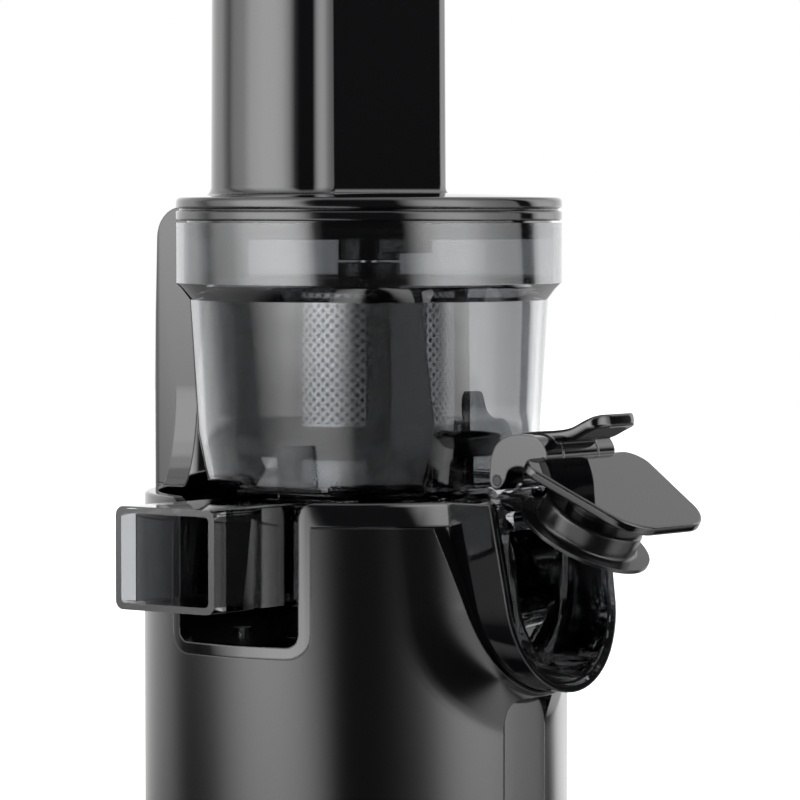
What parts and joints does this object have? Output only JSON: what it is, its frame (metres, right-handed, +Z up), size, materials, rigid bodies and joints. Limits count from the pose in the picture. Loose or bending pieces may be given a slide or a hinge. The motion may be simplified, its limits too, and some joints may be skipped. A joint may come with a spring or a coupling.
{
  "type": "cold press juicer",
  "caption": "Upright slow juicer with a round motor base, clear bowl with juice and pulp spouts, strainer, geared wiper, auger, chute lid and pusher.",
  "frame": {"origin": "point on the table between the feet, on the drive axis", "axes": "+Z up along the drive axis, -Y towards the juice spout and the controls, -X towards the pulp spout, +Y towards the rear post"},
  "size_m": [0.1757, 0.2107, 0.4251],
  "materials": {
    "satin_black": "fine satin moulded ABS",
    "gloss_black": "polished moulded ABS",
    "gloss_grip": "polished moulded ABS",
    "smoked_clear": "polished clear copolyester, smoked",
    "dark_silicone": "smooth soft silicone",
    "foot_rubber": "smooth rubber",
    "screw_steel": "machined stainless steel",
    "sieve_steel": "perforated stainless steel",
    "bronze": "sintered bronze",
    "motor_steel": "rolled steel can",
    "gearbox_metal": "die-cast",
    "board_green": "glass fibre board",
    "switch_black": "moulded nylon",
    "lens_clear": "clear acrylic",
    "button_black": "satin moulded ABS",
    "dark_nylon": "moulded polyetherimide, dark"
  },
  "bodies": {
    "base": {"body_shell": "satin_black", "top_collar": "gloss_black", "drive_deck": "satin_black", "front_panel": "gloss_black", "indicator_lens": "lens_clear", "rear_post": "gloss_black", "post_cover": "gloss_black", "bottom_cover": "satin_black", "feet": "foot_rubber", "base_screws": "screw_steel", "power_inlet": "switch_black", "motor": "motor_steel", "gearbox": "gearbox_metal", "gearbox_screws": "screw_steel", "shaft_bush": "bronze", "drive_seal": "dark_silicone", "control_board": "board_green", "lid_switch": "switch_black"},
    "drive": {"drive_shaft": "screw_steel"},
    "power_key": {"power_button": "button_black"},
    "reverse_key": {"reverse_button": "button_black"},
    "bowl_unit": {"bowl": "smoked_clear", "bowl_gasket": "dark_silicone", "pulp_duct_plug": "dark_silicone", "gear_pins": "screw_steel", "cap_pin": "screw_steel", "strainer_frame": "dark_nylon", "upper_sieve": "sieve_steel", "lower_sieve": "sieve_steel"},
    "flat_gear": {"flat_idler": "dark_nylon"},
    "tall_gear": {"tall_idler": "dark_nylon"},
    "wiper": {"wiper_frame": "dark_nylon", "wiper_blades": "dark_silicone"},
    "screw": {"auger": "dark_nylon", "auger_pinion": "dark_nylon", "auger_socket": "screw_steel", "auger_pin": "screw_steel"},
    "cap": {"juice_cap": "gloss_black", "cap_plug": "dark_silicone"},
    "lid_unit": {"lid": "gloss_black", "lid_bush": "bronze", "lid_seal": "dark_silicone", "lid_magnet": "screw_steel"},
    "pusher_unit": {"pusher": "gloss_grip", "pusher_grip": "gloss_grip"}
  },
  "joints": [
    {"name": "bowl_lift", "type": "slide", "parent": "base", "child": "bowl_unit", "axis": [0, 0, 1], "range_m": [0, 0.15]},
    {"name": "lid_lift", "type": "slide", "parent": "bowl_unit", "child": "lid_unit", "axis": [0, 0, 1], "range_m": [0, 0.12]},
    {"name": "pusher_slide", "type": "slide", "parent": "lid_unit", "child": "pusher_unit", "axis": [0, 0, 1], "range_m": [0, 0.12]},
    {"name": "auger_spin", "type": "hinge", "parent": "bowl_unit", "child": "screw", "pos_m": [0, 0, 0.18], "axis": [0, 0, 1], "continuous": true},
    {"name": "drive_spin", "type": "hinge", "parent": "base", "child": "drive", "pos_m": [0, 0, 0.18], "axis": [0, 0, 1], "continuous": true},
    {"name": "flat_idler_spin", "type": "hinge", "parent": "bowl_unit", "child": "flat_gear", "pos_m": [0, -0.02152, 0.18], "axis": [0, 0, 1], "continuous": true},
    {"name": "tall_idler_spin", "type": "hinge", "parent": "bowl_unit", "child": "tall_gear", "pos_m": [0, -0.0357, 0.18], "axis": [0, 0, 1], "continuous": true},
    {"name": "wiper_spin", "type": "hinge", "parent": "bowl_unit", "child": "wiper", "pos_m": [0, 0, 0.18], "axis": [0, 0, 1], "continuous": true},
    {"name": "cap_hinge", "type": "hinge", "parent": "bowl_unit", "child": "cap", "pos_m": [0, -0.067, 0.1865], "axis": [1, 0, 0], "range_deg": [0, 51.5]},
    {"name": "power_press", "type": "slide", "parent": "base", "child": "power_key", "axis": [0, 1, 0], "range_m": [0, 0.0012], "stiffness_N_per_m": 400, "springref_m": -0.0006},
    {"name": "reverse_press", "type": "slide", "parent": "base", "child": "reverse_key", "axis": [0, 1, 0], "range_m": [0, 0.0012], "stiffness_N_per_m": 400, "springref_m": -0.0006}
  ],
  "couplings": [
    {"joint": "drive_spin", "follows": "auger_spin", "ratio": 1},
    {"joint": "flat_idler_spin", "follows": "auger_spin", "ratio": -1.4118},
    {"joint": "tall_idler_spin", "follows": "auger_spin", "ratio": 2.4},
    {"joint": "wiper_spin", "follows": "auger_spin", "ratio": 0.30769}
  ]
}
